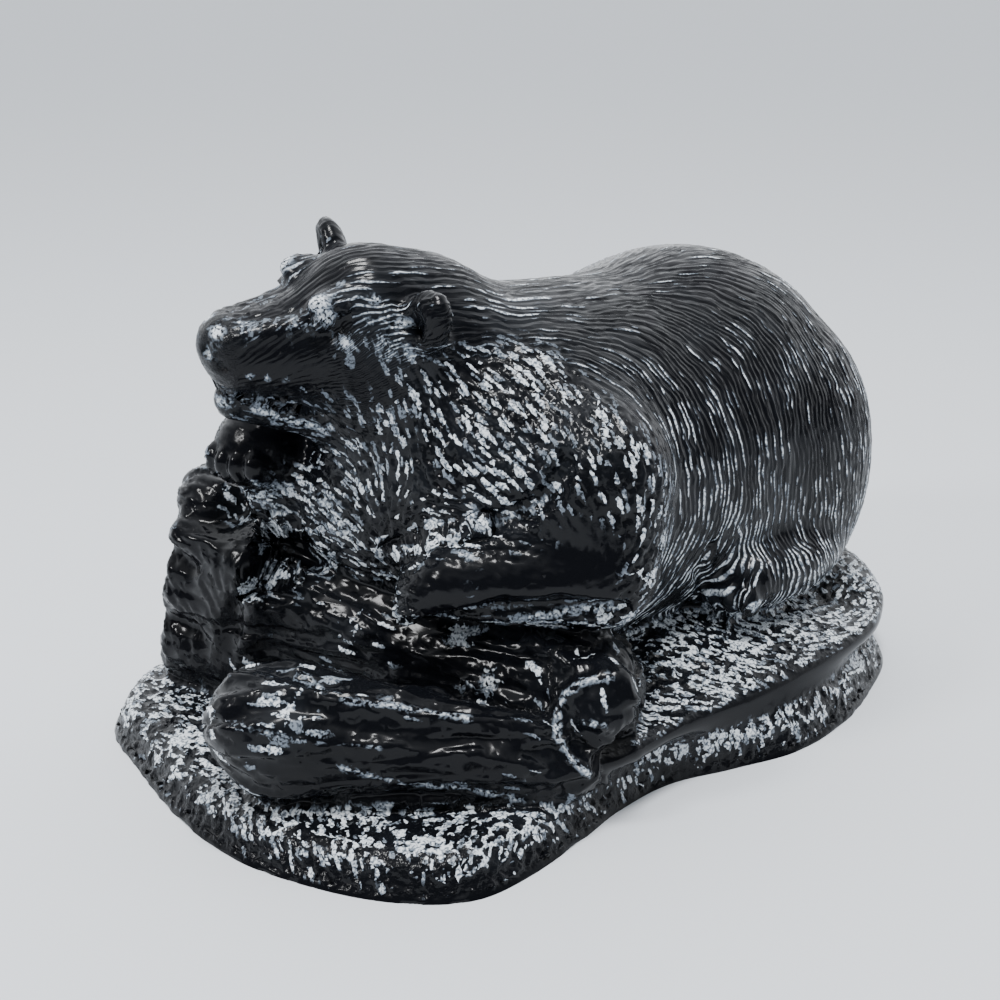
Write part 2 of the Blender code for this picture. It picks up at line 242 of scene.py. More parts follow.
# Drawn from the middle of the skull, with the nose towards +X and the near side at +Y
def headForm():
    items = [
        (0, Blob((1, 0, 0.5), (17, 15.5, 16))),
        (5, Blob((10, 0, 9.5), (10, 10.5, 9))),
        (6, Limb((10, 0, 0), (31, 0, 1), 13.3, 7.6)),
        (2, Blob((35, 0, 3.4), (4.6, 5.4, 4.8))),
        (1.2, Limb((12, 0, -11.5), (32.6, 0, -8.0), 7.6, 3.9)),
        (6, Blob((4, 0, -8), (15, 14.5, 11))),
        (0.7, Blob((27.5, 0, -7.0), (11.5, 12, 1.1), (0, -17, 0)), cut),
    ]
    eye = bear["eyeRadius"]
    for side in (-1, 1):
        items += [
            (2.5, Blob((18.5, side * 7.5, 12.4), (4, 3.2, 2.2), (side * 15, 0, 0))),
            (2, Limb((20, side * 6.4, 8.6), (34, side * 4.2, 6.0), 1.6, 1.4)),
            (1.6, Blob((22.6, side * 10.6, 9.4), (4.2, 2.0, 3.6), (0, 0, side * 18)), cut),
            (0.6, Blob((20.6, side * 8.9, 9.6), (eye * 1.2, eye * 0.8, eye))),
            (0.4, Limb((18.9, side * 9.4, 14.0), (18.0, side * 10.8, 8.4), 0.75, 0.5), cut),
            (0.5, Limb((17.2, side * 9.6, 14.4), (16.2, side * 11.0, 8.0), 1.1, 0.8)),
            (0.5, Blob((38.2, side * 3.0, 3.8), (2.0, 1.5, 1.5)), cut),
            (0.5, Blob((36.4, side * 5.2, 1.6), (2.2, 1.1, 0.9), (0, 20, 0)), cut),
            (0.8, Blob((30, side * 7.4, -5.2), (6, 1.3, 1.0), (0, -6, side * 8))),
        ]
    items += [
        (2, Blob((3.4, 14.6, 10.2), (3.6, 5, 7.2), (-28, 0, 14))),
        (0.8, Blob((7.6, 15.4, 9.4), (2.6, 2.9, 4.8), (-28, 0, 14)), cut),
        (2, Blob((11, -12.4, 13.8), (2.9, 4.2, 5.6), (26, 14, -8))),
        (0.8, Blob((13.9, -12.9, 14.4), (1.7, 2.4, 3.2), (26, 14, -8)), cut),
        (0.5, Blob((37.5, 0, -1), (3, 0.5, 2.4)), cut),
    ]
    return Group(*items)


# Forefoot with its toes and claws, drawn from the wrist towards +X
def pawForm(length, width, toes=4):
    items = [(0, Blob((0, 0, 0), (length * 0.75, width / 2, width * 0.42)))]
    for toe in range(toes):
        across = (toe + 0.5) / toes - 0.5
        tip = (length * (0.62 - abs(across) * 0.35), across * width * 0.92, -width * 0.12)
        items.append((0.7, Blob(tip, (length * 0.36, width / toes * 0.6, width * 0.27), (0, 22, 0))))
    return Group(*items)


# Drawn from the point of the rock that the bear rests on
def bearForm():
    trunk = Group(
        (0, Blob((48.5, -4, 26), (40.5, 37, 38.3))),
        (14, Blob((12, -4, 24), (42, 33, 35.2))),
        (12, Limb((8, -2, 38.5), (-14, 3, 48), 22.0, 18)),
        (10, Blob((-8, -5, 30), (24, 31, 28))),
        (10, Blob((-21, 13, 23), (15, 18, 16))),
        (6, Blob((62, -27, 19), (21, 15, 28), (0, 0, 8))),
        (6, Blob((62, 19, 19), (21, 15, 28), (0, 0, -8))),
    )
    nearArm = Group(
        (0, Limb((-7, -30, 34), (-10, -35, 20), 14.5, 10.5)),
        (3, Limb((-12, -36.5, 18), (-32, -19, 18), 8.8, 6.8)),
        (1.5, Placed(pawForm(8.5, 13.5), (-34, -15.5, 16), (0, 30, 138))),
    )
    farArm = Group(
        (0, Limb((-6, 22, 36), (-22, 30, 32), 14, 9.5)),
        (4, Limb((-22, 30, 32), (-36, 29, 34), 9, 7.5)),
        (5, Blob((-27, 27, 25), (13, 9, 9))),
        (2.5, Placed(pawForm(9, 15), (-38, 28.5, 34), (0, 12, 188))),
    )
    hindFeet = Group(
        (0, Blob((47, -34, 4), (21, 10, 8.5), (0, 0, 3))),
        (2, Placed(pawForm(8, 15), (32, -35, 4), (0, 6, 184))),
        (1, Blob((50, 25, 3), (19, 10, 9), (0, 0, -4))),
        (2, Placed(pawForm(9, 15), (33, 26, 1), (0, 8, 176))),
    )
    return Group(
        (0, trunk),
        (7, headPart),
        (6, nearArm),
        (3, farArm),
        (3, hindFeet),
    )


logs = {
    "upperRadius": 17.0,
    "upperLength": 70.0,
    "lowerRadius": 12.5,
    "lowerLength": 49.0,
    "stubRadius": 7.8,
    "furrowDepth": 1.4,
    "upperPlace": (-29, 35, 25.5),
    "lowerPlace": (-60, -6, 19),
    "stubPlace": (-19, -42, 18.5),
    "upperTurn": -78,
    "lowerTurn": -46,
    "stubTurn": -20,
}


# Long grooves in a log's bark, on the side that the angles in degrees face
def furrows(length, radius, depth, count, facing):
    cuts = []
    for index in range(count):
        angle = math.radians(facing[0] + (facing[1] - facing[0]) * (index + 0.5) / count)
        middle = length * (0.5 + 0.16 * math.sin(index * 2.4))
        half = length * (0.30 + 0.08 * math.cos(index * 1.7))
        place = (middle, radius * math.cos(angle), radius * math.sin(angle))
        tilt = 3 * math.sin(index * 3.1)
        groove = Blob(place, (half, depth * 1.1, depth), (math.degrees(angle) - 90, 0, tilt))
        cuts.append((depth, groove, cut))
    return cuts


# Drawn along +X from its broken end, which stands up as a stump
def upperLogForm():
    length, radius, depth = logs["upperLength"], logs["upperRadius"], logs["furrowDepth"]
    return Group(
        (0, Limb((0, 0, 0), (length, 0, -radius * 0.3), radius, radius * 0.74)),
        (4, Block((-3.5, -7, -1), (12.5, 12.5, 18.5), (4, 12, 4), 4)),
        (4, Blob((8, -9, 9), (11, 11, 13), (0, 35, 0))),
        (3, Blob((-8.5, -6.5, 19), (8.5, 9.5, 6.5), (0, 12, 0))),
        (2, Blob((-12, -21, 11), (9, 3.4, 2.0), (0, 14, 0)), cut),
        (2, Blob((-12, -21, -4), (9, 3.0, 1.6), (0, 8, 10)), cut),
        (2, Blob((4, -21, -2), (2.2, 3, 9), (0, 20, 0)), cut),
        (2, Blob((18, -9, 13.5), (9, 3, 2.4), (30, 0, 12)), cut),
        (2, Blob((30, -2, 16), (8, 3, 2.6), (0, 8, -18)), cut),
        *furrows(length, radius, depth, 6, (150, 260)),
    )


# Drawn along +X from its thick end, at -Y of the upper log
def lowerLogForm():
    length, radius, depth = logs["lowerLength"], logs["lowerRadius"], logs["furrowDepth"]
    return Group(
        (0, Limb((0, 0, 0), (length, 0, -radius * 0.52), radius, radius * 0.53)),
        (3, Blob((-radius * 0.5, -1.5, 3), (8, 8.5, 9))),
        (2, Limb((length * 0.25, -3, radius * 0.5), (length * 0.9, -1, 0), 5, 3.5)),
        *furrows(length, radius, depth, 8, (120, 285)),
    )


# Broken branch that curls down, hollow below its rim, drawn from the middle of the break
def stubForm():
    radius = logs["stubRadius"]
    return Group(
        (0, Limb((0, 0, radius * 0.5), (radius * 0.1, 0, -radius * 0.8), radius, radius * 0.8)),
        (2, Blob((radius * 0.2, radius * 0.7, radius), (radius * 1.2, radius, radius * 0.7), (30, 0, 0))),
        (1.2, Blob((radius / 2, -radius * 0.8, -radius * 0.75), (radius * 0.55, radius * 0.6, radius)), cut),
    )


ground = {
    "ledge": 7.5,  # top edge of the lower tier
    "channel": 4.0,  # width of the smooth channel between the tiers
    "tier": 14.5,
    "mound": 24.0,  # crown of the rock under the bear
}
lowerOutline = [
    (-60, 47), (-66, 30), (-71, 10), (-72, -8), (-68, -24), (-62, -36), (-54, -44), (-44, -46),
    (-29, -45), (-14, -43), (0, -44), (12, -49), (26, -54), (42, -54), (58, -50), (74, -43),
    (85, -28), (86, 0), (78, 26), (60, 42), (36, 50), (8, 49), (-18, 53), (-44, 57),
]
upperOutline = [
    (-30, 44), (-38, -10), (-33, -38), (-20, -47), (-4, -48), (12, -49), (30, -50), (48, -51),
    (64, -49), (77, -41), (85, -26), (86, 0), (77, 22), (56, 38), (26, 43), (0, 47),
]


def groundForm():
    ledge, channel, tier, mound = (ground[key] for key in ("ledge", "channel", "tier", "mound"))
    return Group(
        (0, lowerTier),
        (3, Slab(upperOutline, -6, tier - 2, 3, inset=channel + 1)),
        (3, upperTier),
        (5, Blob((30, -4, tier - 8), (58, 48, mound - tier + 8))),
        (5, Blob((72, -20, tier - 2), (15, 22, 11))),
    )


lowerTier = Slab(lowerOutline, -6, ground["ledge"], 2.5, inset=1.5, flare=0.45)
upperTier = Slab(upperOutline, ground["tier"] - 4.5, ground["tier"], 2.2)
headPart = Placed(headForm(), bear["headPlace"], bear["headTurn"])
wholeBear = Placed(bearForm(), bear["place"])
upperPart = Placed(upperLogForm(), logs["upperPlace"], (0, 0, logs["upperTurn"]))
lowerPart = Placed(lowerLogForm(), logs["lowerPlace"], (0, 0, logs["lowerTurn"]))
stubPart = Placed(stubForm(), logs["stubPlace"], (0, 0, logs["stubTurn"]))
wholeLogs = Group((0, upperPart), (2, lowerPart), (2, stubPart))
groundPart = groundForm()
skullMiddle = np.array(bear["headPlace"]) + bear["place"]
blockedOut = Group((0, groundPart), (2, wholeLogs), (2.5, wholeBear))


# The points of a form's surface that show at these points of the picture
def seenAt(spots, form):
    middle = picture["width"] / 2
    focal = picture["lens"] / picture["sensor"] * picture["width"]
    across, down = np.array(spots, float).T
    rays = np.stack([across - middle, middle - down, np.full(len(across), -focal)], axis=1)
    rays = unit(rays @ turned(picture["cameraTurn"]).T)
    points = np.array(picture["cameraPlace"]) * perMetre + rays * picture["nearest"]
    for _ in range(picture["steps"]):
        points += rays * np.clip(form.distance(points), -2, 8)[:, None] * 0.8
    return points


# Ridges and creases that follow a line of the picture
pictureLines = {
    "stubRim": [(608, 676), (580, 682), (564, 694), (557, 712), (560, 740), (573, 760), (592, 777)],
    "stubFold": [(584, 722), (604, 726), (626, 732)],
    "barkArch": [(534, 640), (556, 656), (580, 666), (606, 662), (622, 678), (632, 700)],
    "logRidge": [(232, 672), (290, 690), (330, 696), (365, 702), (400, 706), (470, 718), (540, 728)],
    "logRidgeLow": [(225, 722), (300, 742), (380, 748), (470, 752), (540, 768)],
    "upperRidge": [(300, 668), (330, 680), (400, 694), (470, 690), (520, 706)],
    "armCrease": [(388, 556), (430, 538), (480, 526), (525, 512), (552, 492), (566, 462)],
    "armUnder": [(398, 636), (440, 622), (500, 612), (560, 610), (620, 612)],
    "legCrease": [(706, 590), (700, 570), (712, 548)],
}
# Radius, blend, and the depth of the middle of the line under the surface as a share of the radius
logRidges = {
    "stubRim": (1.5, 1.2, 0.3), "stubFold": (1.0, 1.0, 0.2), "barkArch": (2.0, 1.5, 0.3),
    "logRidge": (1.8, 1.6, 0.5), "logRidgeLow": (1.6, 1.6, 0.6), "upperRidge": (1.6, 1.6, 0.5),
}
furCreases = {"armCrease": (1.8, 1.6, 0.1), "armUnder": (2.0, 1.6, 0.2), "legCrease": (1.2, 1.6, 0.1)}


# Rounded beads along lines of the picture, which a group adds, or takes away with cut
def followed(lines, *cuts):
    items = []
    for name, (radius, blend, sunk) in lines.items():
        points = seenAt(pictureLines[name], blockedOut)
        points -= slopes(blockedOut, points) * radius * sunk
        items += [
            (blend, Limb(start, end, radius, radius), *cuts) for start, end in zip(points[:-1], points[1:])
        ]
    return items


stubHollow = (1.5, Blob(seenAt([(614, 760)], blockedOut)[0], (3.0, 3.4, 3.6)), cut)
logsPart = Group((0, wholeLogs), *followed(logRidges), stubHollow)
bearPart = Group((0, wholeBear), *followed(furCreases, cut))
statue = Group((0, groundPart), (2, logsPart), (2.5, bearPart))
print("forms drawn")


def smoothStep(low, high, value):
    share = np.clip((value - low) / (high - low), 0, 1)
    return share * share * (3 - 2 * share)


def pointsOf(mesh):
    points = np.empty(len(mesh.vertices) * 3, np.float32)
    mesh.vertices.foreach_get("co", points)
    return points.reshape(-1, 3).astype(float)


# Moves a mesh's points onto the surface of the form
def settle(mesh, form, rounds):
    points = pointsOf(mesh)
    for _ in range(rounds):
        points -= slopes(form, points) * np.clip(form.distance(points), -2, 2)[:, None]
    mesh.vertices.foreach_set("co", points.astype(np.float32).ravel())
    mesh.update()
    return points


# A plain mesh of the object as its modifiers leave it
def baked(item):
    seen = item.evaluated_get(bpy.context.evaluated_depsgraph_get())
    mesh = bpy.data.meshes.new_from_object(seen)
    item.modifiers.clear()
    return mesh


def modified(mesh, kind, **settings):
    helper = bpy.data.objects.new("helper", mesh)
    bpy.context.scene.collection.objects.link(helper)
    modifier = helper.modifiers.new(kind.title(), kind)
    for name, value in settings.items():
        setattr(modifier, name, value)
    result = baked(helper)
    bpy.data.objects.remove(helper)
    bpy.data.meshes.remove(mesh)
    return result


def store(mesh, name, vectors):
    attribute = mesh.attributes.new(name, "FLOAT_VECTOR", "POINT")
    attribute.data.foreach_set("vector", vectors.astype(np.float32).ravel())


surface = {
    "coarseStep": 1.3,
    "guideStep": 2.0,  # spacing of the points that the fur's flow is worked out on
    "fineStep": 0.42,  # spacing of the points that the relief is cut into
    "triangles": 192000,
}


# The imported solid's surface with merged corners, in millimetres, moved onto the drawn forms
def castingSurface():
    mesh = bpy.data.objects[node].data.copy()
    mesh.transform(Matrix.Scale(perMetre, 4))
    work = bmesh.new()
    work.from_mesh(mesh)
    bmesh.ops.remove_doubles(work, verts=work.verts[:], dist=0.001)
    work.to_mesh(mesh)
    work.free()
    mesh = modified(mesh, "REMESH", mode="VOXEL", voxel_size=surface["coarseStep"])
    settle(mesh, statue, 4)
    return mesh


# The lie of the fur: a point of the picture and the way that the strokes run there, across and down.
# The far side mirrors the near side, the body about its spine and the head about its own middle.
furStrokes = {
    "back": [
        (525, 282, 1, -0.1), (600, 287, 1, 0.15), (700, 255, 1, 0.15), (750, 287, 1, 0.7), (825, 325, 0.9, 1),
    ],
    "flank": [
        (650, 337, 1, 0.9), (725, 350, 0.6, 1), (787, 400, 0.15, 1), (857, 412, 0.25, 1), (575, 337, 1, 0.55),
        (562, 387, 0.7, 1), (650, 425, 0.4, 1), (700, 437, 0.3, 1), (750, 437, 0.15, 1), (787, 475, 0, 1),
        (660, 475, 0.05, 1), (712, 487, 0, 1), (750, 512, -0.25, 1), (800, 512, -0.1, 1), (662, 525, -0.3, 1),
        (700, 550, -0.45, 1), (640, 562, -0.9, 1), (762, 587, -0.25, 1), (812, 575, 0, 1),
    ],
    "shoulder": [
        (600, 600, -1, 0.35), (612, 500, 0.3, 1), (612, 537, 0.25, 1), (575, 462, 0.5, 1), (546, 426, 0.3, 1),
        (550, 394, 0.8, 1), (600, 486, 0.6, 1), (590, 450, 0.7, 1), (430, 560, -1, 0.1), (540, 590, -1, 0),
    ],
    "neck": [
        (420, 260, 1, 0.2), (470, 290, 1, 0.35), (510, 310, 1, 0.35), (550, 316, 1, 0.1), (480, 320, 1, 0.4),
        (530, 340, 1, 0.35), (470, 368, 1, 0.55), (500, 394, 1, 0.8), (506, 430, 0.9, 1), (496, 462, 1, 0.8),
        (470, 486, 1, 0.3), (506, 490, 1, 0.5), (440, 506, 0.8, 0.6), (360, 490, 0.35, 1), (330, 455, 1, 0.9),
    ],
    "head": [
        (380, 252, 1, 0.15), (250, 310, 1, -0.35), (270, 350, 1, 0.15), (330, 380, 0.8, 0.6),
        (360, 386, 0.2, 1), (404, 390, 0.35, 1), (396, 430, 0.1, 1), (440, 446, 0.2, 1), (454, 424, 0.4, 1),
    ],
}
# The short dabs below the muzzle's top stand across the fur
muzzleDabs = [(246, 326, 0.1, 1), (270, 320, 0.1, 1), (296, 336, 0.15, 1), (262, 344, 0.1, 1)]
# The lie of the strokes on wood and rock
groundStrokes = {
    "stump": [
        (200, 480, 1, 0.1), (240, 490, 1, 0.2), (300, 490, 1, 0.35), (330, 520, 1, 0.45), (300, 560, 1, 0.4),
        (360, 600, 1, 0.5), (250, 600, 0.2, 1), (190, 570, 0.1, 1), (190, 640, 0.1, 1), (420, 640, 1, 0.2),
        (500, 670, 1, 0.3), (270, 640, 1, 0.4), (340, 640, 1, 0.35),
    ],
    "log": [
        (230, 700, 1, 0.1), (300, 700, 1, 0.15), (400, 715, 1, 0.12), (500, 735, 1, 0.1), (300, 760, 1, 0.1),
        (420, 770, 1, 0.1), (530, 770, 1, 0.1),
    ],
    "stub": [
        (590, 690, 0.1, 1), (615, 700, 0.1, 1), (562, 720, 0, 1), (575, 760, 0.4, 1), (600, 730, 1, 0.1),
    ],
    "rock": [
        (640, 620, 1, 0.5), (690, 650, 1, 0.4), (760, 670, 1, 0.2), (700, 700, 1, 0.1), (830, 640, 1, -0.2),
        (862, 600, 0.8, -0.8), (150, 700, 1, 0.6), (180, 740, 1, 0.8),
    ],
    "lip": [
        (140, 720, 1, -0.2), (170, 790, 0.6, -0.6), (230, 830, 0.2, 1), (300, 840, 0.1, 1), (400, 860, 0, 1),
        (500, 850, -0.2, 1), (560, 800, -0.5, 1), (650, 765, 0.2, 1), (740, 745, 0.1, 1), (820, 720, 0.1, 1),
    ],
}
unseenFur = [  # on the rump: place, and the way down and rearwards
    ((80, -25, 60), (0.25, -0.3, -0.9)), ((84, -4, 60), (0.3, 0, -0.95)), ((86, -20, 45), (0, -0.2, -1)),
    ((70, -4, 85), (0.95, 0, -0.3)), ((88, -4, 45), (0, 0, -1)),
]


# Where each stroke lies on the form, and its unit direction there
def strokesOn(strokes):
    strokes = np.array(strokes, float)
    step = unit(strokes[:, 2:]) * 3
    before, after = (seenAt(strokes[:, :2] + side * step, blockedOut) for side in (-1, 1))
    return (before + after) / 2, unit(after - before)


# The same place or way on the other side of the head
def acrossHead(vectors, origin=0.0):
    return (((vectors - origin) @ headPart.turn) * (1, -1, 1)) @ headPart.turn.T + origin


def furHints():
    bodyStrokes = [stroke for name in ("back", "flank", "shoulder", "neck") for stroke in furStrokes[name]]
    bodyPlaces, bodyWays = strokesOn(bodyStrokes)
    bodyPlaces = np.concatenate([bodyPlaces, [place for place, _ in unseenFur]])
    bodyWays = np.concatenate([bodyWays, unit(np.array([way for _, way in unseenFur], float))])
    headPlaces, headWays = strokesOn(furStrokes["head"])
    flip = np.array([1, -1, 1.0])
    middle = np.array([0, 2 * bear["middle"], 0])
    places = [bodyPlaces, bodyPlaces * flip + middle, headPlaces, acrossHead(headPlaces, skullMiddle)]
    ways = [bodyWays, bodyWays * flip, headWays, acrossHead(headWays)]
    return np.concatenate(places), np.concatenate(ways)


# How near the points are to the named spots of the picture, each with its amount; those on the head
# count on its other side too
def nearSpots(points, spots):
    places = seenAt([spot[:2] for spot in spots.values()], statue)
    onHead = headPart.distance(places - bear["place"]) < 1.5
    for place, twice, (_, _, reach, *amount) in zip(places, onHead, spots.values()):
        apart = ((points - place) ** 2).sum(axis=1)
        if twice:
            apart = np.minimum(apart, ((points - acrossHead(place, skullMiddle)) ** 2).sum(axis=1))
        yield np.sqrt(apart) / reach, *amount


# How much a hint counts at the points: strongly within the spread, and a little everywhere
def hintWeight(points, place, spread):
    apart = ((points - place) ** 2).sum(axis=1)
    return np.exp(-apart / (2 * spread**2)) + 2.0 / (apart + 25) ** 2


# Directions along the fur at the points, as a smooth blend of the hints, laid onto the surface
def growth(points, normals, hints, spread=9.0):
    total = np.zeros_like(points)
    for place, way in zip(*hints):
        total += hintWeight(points, place, spread)[:, None] * way
    total = unit(total)
    return unit(total - (total * normals).sum(axis=1)[:, None] * normals)


# The same for strokes that have no front end, so that opposite hints agree
def strokeLie(points, normals, hints, spread=6.0):
    flat = unit(np.cross(normals, (0.31, 0.17, 0.94)))
    steep = np.cross(normals, flat)
    evenly, aslant = np.zeros(len(points)), np.zeros(len(points))
    for place, way in zip(*hints):
        weight = hintWeight(points, place, spread)
        first, second = flat @ way, steep @ way
        evenly += weight * (first**2 - second**2)
        aslant += weight * 2 * first * second
    angle = (np.arctan2(aslant, evenly) / 2)[:, None]
    lie = np.cos(angle) * flat + np.sin(angle) * steep
    ahead = (lie * (0.6, -0.3, -0.74)).sum(axis=1)
    return lie * np.where(ahead < 0, -1, 1)[:, None]


# The scalar over the triangles that stays level along one field and climbs evenly along the other,
# by conjugate gradients; the climb may stretch so that the level lines can follow the first field
def potential(triangles, share, level, climb, ease, rounds=900):
    count = triangles.max() + 1
    goal = share * ease

    def gathered(alongLevel, alongClimb):
        flows = (level[i] * alongLevel + climb[i] * alongClimb for i in range(3))
        return sum(np.bincount(triangles[:, i], flow, count) for i, flow in enumerate(flows))

    def slope(parts, value):
        return sum(parts[i] * value[triangles[:, i]] for i in range(3))

    scale = sum(
        np.bincount(triangles[:, i], share * level[i] ** 2 + goal * climb[i] ** 2, count) for i in range(3)
    )
    value = np.zeros(count)
    left = gathered(0 * goal, goal)
    eased = left / scale
    search = eased.copy()
    size = left @ eased
    enough = size * 1e-10
    for _ in range(rounds):
        pushed = gathered(share * slope(level, search), goal * slope(climb, search))
        step = size / (search @ pushed)
        value += step * search
        left -= step * pushed
        eased = left / scale
        size, before = left @ eased, size
        if size < enough:
            break
        search = eased + search * (size / before)
    return value - value.mean()


# How far along and across the fur each point of a coarse copy lies, in millimetres,
# and how much wider than real the second of them is drawn there
def furGuide(mesh):
    mesh = modified(mesh.copy(), "REMESH", mode="VOXEL", voxel_size=surface["guideStep"])
    points = settle(mesh, statue, 2)
    mesh.calc_loop_triangles()
    triangles = np.empty(len(mesh.loop_triangles) * 3, np.int32)
    mesh.loop_triangles.foreach_get("vertices", triangles)
    triangles = triangles.reshape(-1, 3)
    corners = points[triangles]
    facing = np.cross(corners[:, 1] - corners[:, 0], corners[:, 2] - corners[:, 0])
    area = np.maximum(np.linalg.norm(facing, axis=1), 1e-6)
    facing /= area[:, None]
    hats = [
        np.cross(facing, corners[:, (i + 2) % 3] - corners[:, (i + 1) % 3]) / area[:, None] for i in range(3)
    ]
    along = growth(corners.mean(axis=1), facing, furHints())
    across = np.cross(facing, along)
    lengthwise = [(hat * along).sum(axis=1) for hat in hats]
    sideways = [(hat * across).sum(axis=1) for hat in hats]
    furred = zonesAt(points)["bear"][triangles].min(axis=1)
    # the fur parts from the nose, so its lines only close round the neck across a seam below the throat
    local = headPart.local(points - bear["place"])
    sides = (local[:, 1] > 0)[triangles]
    seam = (sides.any(axis=1) & ~sides.all(axis=1)) & (local[triangles] > (5, -99, -99)).all(axis=(1, 2))
    seam &= (local[triangles][:, :, 2] < 0).all(axis=1)
    share = area * (2e-3 + furred) * np.where(seam, 1e-4, 1)
    run = potential(triangles, share, sideways, lengthwise, 1.0)
    rise = potential(triangles, share, lengthwise, sideways, bear["evenness"])
    steep = abs(sum(sideways[i] * rise[triangles[:, i]] for i in range(3)))
    weight = sum(np.bincount(triangles[:, i], area, len(points)) for i in range(3))
    spread = steep
    for _ in range(3):
        spread = sum(np.bincount(triangles[:, i], area * spread, len(points)) for i in range(3)) / weight
        last = spread
        spread = spread[triangles].mean(axis=1)
    store(mesh, "growth", np.stack([run, rise, np.clip(last, 0.05, 8)], axis=1))
    guide = bpy.data.objects.new("furGuide", mesh)
    bpy.context.scene.collection.objects.link(guide)
    print("fur flow worked out on", len(points), "points")
    return guide


# Which of the casting's parts each point belongs to, from 0 to 1
def zonesAt(points):
    toBear, toLogs, toGround = (part.distance(points) for part in (bearPart, logsPart, groundPart))
    ofBear = smoothStep(-0.7, 0.7, np.minimum(toLogs, toGround) - toBear)
    ofLogs = (1 - ofBear) * smoothStep(-0.7, 0.7, toGround - toLogs)
    return {"bear": ofBear, "logs": ofLogs, "rock": 1 - ofBear - ofLogs}


# More wash, or less where the amount is below zero: a point of the picture, the reach in
# millimetres, and the amount. The forearm's glint spot is a painted highlight put on as wash
washSpots = {
    "eyePatch": (313, 307, 3.6, 0.9), "behindEye": (356, 300, 4.5, 0.45),
    "rosette": (345, 343, 1.8, 0.6), "earHollow": (402, 332, 4.0, 0.8),
    "earRim": (436, 325, 4.5, -0.6), "nostrils": (214, 345, 3.2, 0.85),
    "muzzleSpecks": (245, 326, 2.6, 0.6), "muzzleSpecksMiddle": (270, 318, 3.0, 0.7),
    "muzzleSpecksBack": (298, 330, 3.4, 0.6), "cheekBare": (290, 358, 7.0, -0.5),
    "jawBare": (280, 432, 6.0, -0.6), "cheekBareBack": (360, 385, 4.0, -0.4),
    "throatRidge": (280, 487, 4.0, 0.5), "throatPatch": (324, 514, 4.0, 0.7),
    "farPawBare": (240, 445, 9.0, -0.8), "stumpTop": (290, 530, 9.0, 0.55),
    "stumpCrown": (245, 505, 6.0, 0.45), "stumpTopLow": (350, 600, 9.0, 0.35),
    "stumpFaceBare": (190, 600, 12.0, -0.4), "stumpKnobBare": (196, 490, 6.0, -0.3),
    "saddle": (535, 305, 7.0, 0.45), "armBare": (440, 590, 6.5, -0.6),
    "armBareMiddle": (500, 595, 7.0, -0.6), "armBareElbow": (560, 590, 8.0, -0.45),
    "bellyEdge": (500, 622, 4.5, 0.9), "bellyEdgeLeft": (455, 636, 3.0, 0.8),
    "bellyEdgeRight": (550, 615, 4.5, 0.6), "haunchBare": (822, 440, 11.0, -0.35),
    "backBare": (640, 310, 9.0, -0.3), "hollowBare": (616, 758, 4.0, -0.8),
    "flankPale": (720, 560, 12.0, 0.2), "footPale": (790, 590, 8.0, 0.25),
    "chestPale": (450, 500, 6.0, 0.2), "elbowBare": (600, 560, 8.0, -0.35),
    "shoulderBare": (570, 520, 7.0, -0.2), "muzzleBare": (240, 370, 6.0, -0.3),
    # a painted highlight: pale wash put on the forearm where the light glints
    "armPaintedGlints": (470, 590, 2.0, 0.9), "logBare": (330, 770, 9.0, -0.3),
    "logBareRight": (470, 740, 9.0, -0.3), "logDots": (290, 715, 5.0, 0.5),
    "logTopBare": (400, 680, 6.0, -0.2), "logWhite": (490, 680, 4.0, 0.5),
}
# Lines of full wash: points of the picture, and half the width in millimetres
washLines = {
    "mouth": ([(214, 400), (234, 404), (256, 411), (276, 415), (296, 422), (326, 433)], 1.0),
    "mouthFront": ([(222, 402), (250, 409), (274, 415)], 1.2),
    "stubRim": (pictureLines["stubRim"], 0.8),
    "stubFold": (pictureLines["stubFold"], 0.6),
    "logRidge": ([(345, 700), (400, 706), (470, 718)], 0.7),
    "logRidgeStart": ([(300, 668), (318, 684), (345, 696)], 0.5),
    "logRidgeLow": ([(225, 722), (300, 742), (380, 748)], 0.4),
    "logFoot": ([(340, 770), (400, 786), (460, 792), (520, 800)], 0.6),
    "footLip": ([(700, 604), (740, 616), (790, 618), (838, 600)], 0.6),
    "belly": ([(445, 640), (480, 628), (530, 618), (570, 610), (610, 606)], 0.8),
    "throat": ([(320, 498), (334, 516), (346, 534)], 1.3),
    "throatRidge": ([(252, 482), (280, 488), (308, 492)], 0.6),
    "armTop": ([(400, 552), (440, 536), (490, 526), (530, 512), (548, 496)], 0.6),
}
# Patches of wash, two of them painted highlights on the brow: the middle in the picture and the reach in
# millimetres
washPatches = {
    "eye": (316, 304, 2.6), "eyeLow": (328, 318, 1.6), "ear": (404, 326, 1.9),
    "earLow": (409, 345, 1.7), "nostril": (217, 331, 1.5), "nostrilLow": (214, 353, 1.8),
    # a painted highlight: pale wash on the brow where the light glints
    "brow": (375, 299, 1.0), "logKnot": (488, 682, 1.6), "rosette": (345, 343, 1.0),
    "whiskers": (250, 377, 0.5), "whiskersMiddle": (267, 379, 0.6), "whiskersBack": (287, 381, 0.5),
    # another painted highlight: a pale speck on the brow where the light glints
    "browPaintedGlintSpeck": (340, 284, 0.7), "cheekSpeck": (330, 428, 0.7),
}


# How much of the wash stays on each part, from 0 to 1
washShares = {
    "bear": 0.5,
    "lessOnTop": 0.2,
    "moreOnBelly": 0.15,
    "lessOnFace": 0.3,
    "logs": 0.2,
    "rock": 0.56,
    "lessOnFoot": 0.45,
}


